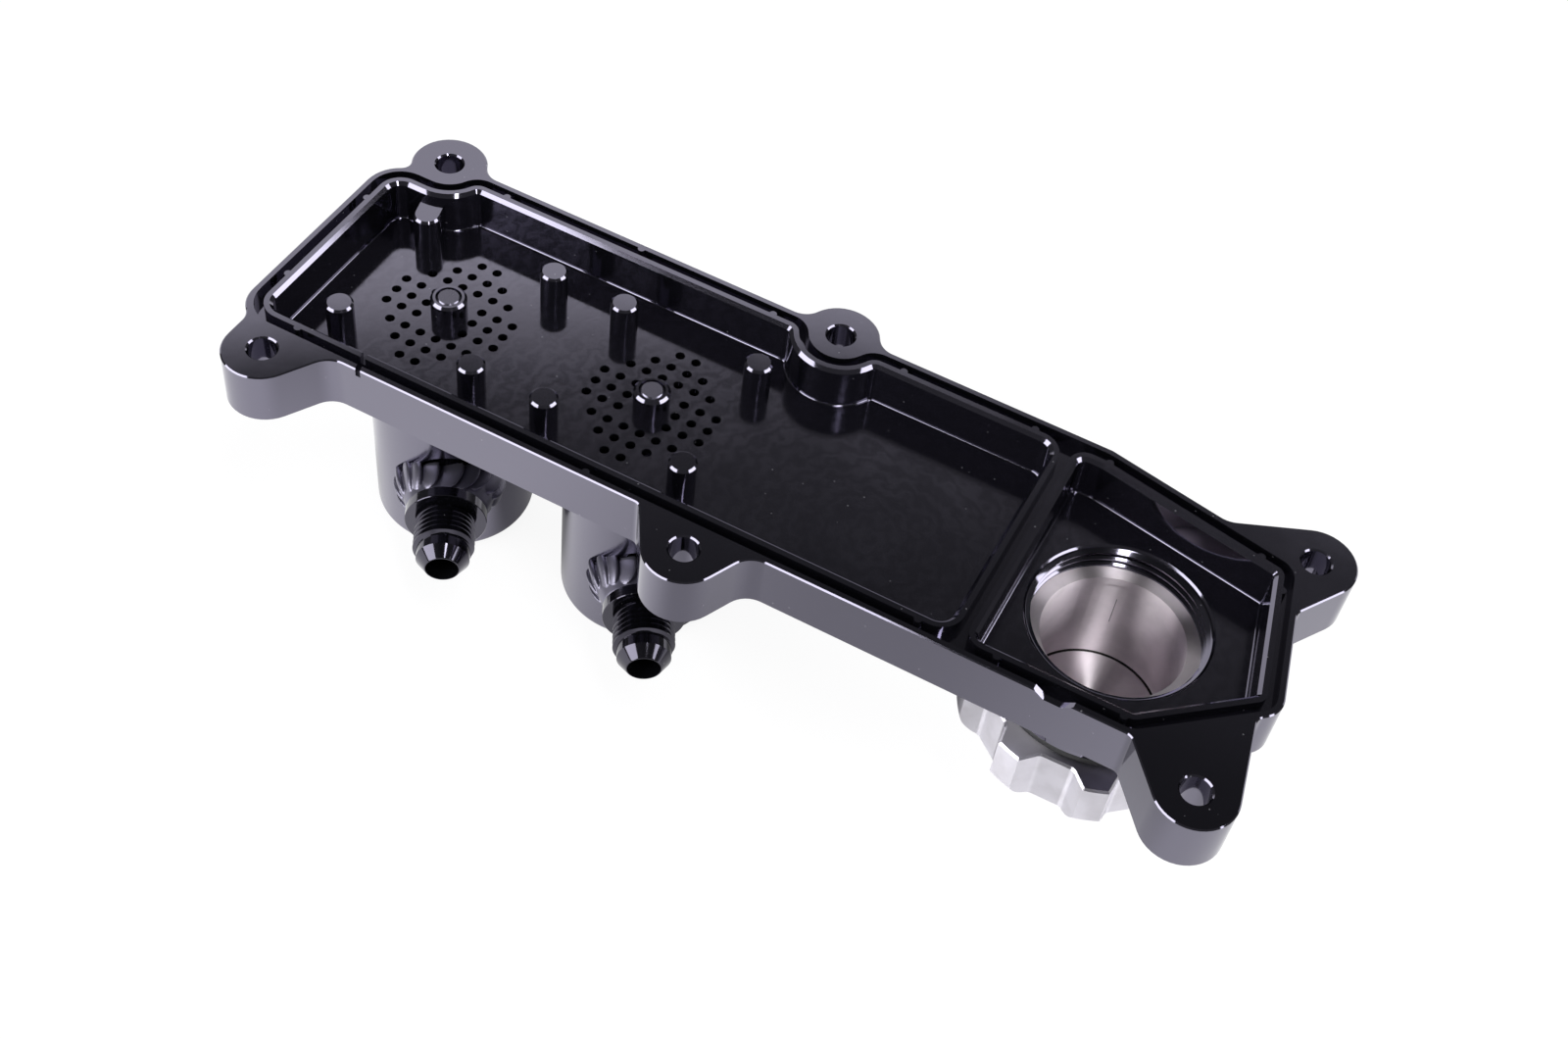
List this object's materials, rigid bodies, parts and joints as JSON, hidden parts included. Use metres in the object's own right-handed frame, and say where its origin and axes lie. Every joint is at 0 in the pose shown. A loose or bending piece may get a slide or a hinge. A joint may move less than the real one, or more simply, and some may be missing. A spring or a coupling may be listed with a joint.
{
  "type": "oil catch can breather tray",
  "caption": "Machined black breather tray with gasket groove, baffle pins, catch cans with hose fittings below, and an oil filler neck closed by a bare lobed screw cap.",
  "frame": {"origin": "on the sealing face, midway between the four main lug holes", "axes": "+X along the tray towards the filler, +Z out of the open side, square to the sealing face"},
  "size_m": [0.2456, 0.0918, 0.0742],
  "materials": {
    "tray_black": "gloss black anodised",
    "can_black": "gloss black anodised",
    "fitting_black": "gloss black anodised",
    "weld_black": "black anodised over a rippled weld",
    "cap_bare": "bare turned and milled",
    "screw_steel": "black oxide",
    "seal_rubber": "matt"
  },
  "bodies": {
    "tray": {"tray": "tray_black", "can_left": "can_black", "can_right": "can_black", "hose_fitting_left": "fitting_black", "hose_fitting_right": "fitting_black", "weld_bead_left": "weld_black", "weld_bead_right": "weld_black", "can_screw_left": "screw_steel", "can_screw_right": "screw_steel", "can_seal_left": "seal_rubber", "can_seal_right": "seal_rubber"},
    "cap_seal": {"cap_seal": "seal_rubber"},
    "filler_cap": {"filler_cap": "cap_bare"}
  },
  "joints": [
    {"name": "cap_travel", "type": "slide", "parent": "tray", "child": "cap_seal", "axis": [0, 0, -1], "range_m": [0, 0.012]},
    {"name": "cap_turn", "type": "hinge", "parent": "cap_seal", "child": "filler_cap", "pos_m": [0.1382, 0.00345, -0.0324], "axis": [0, 0, -1], "range_deg": [0, 2170]}
  ],
  "couplings": [
    {"joint": "cap_turn", "follows": "cap_travel", "rad_per_m": 3141.6}
  ]
}
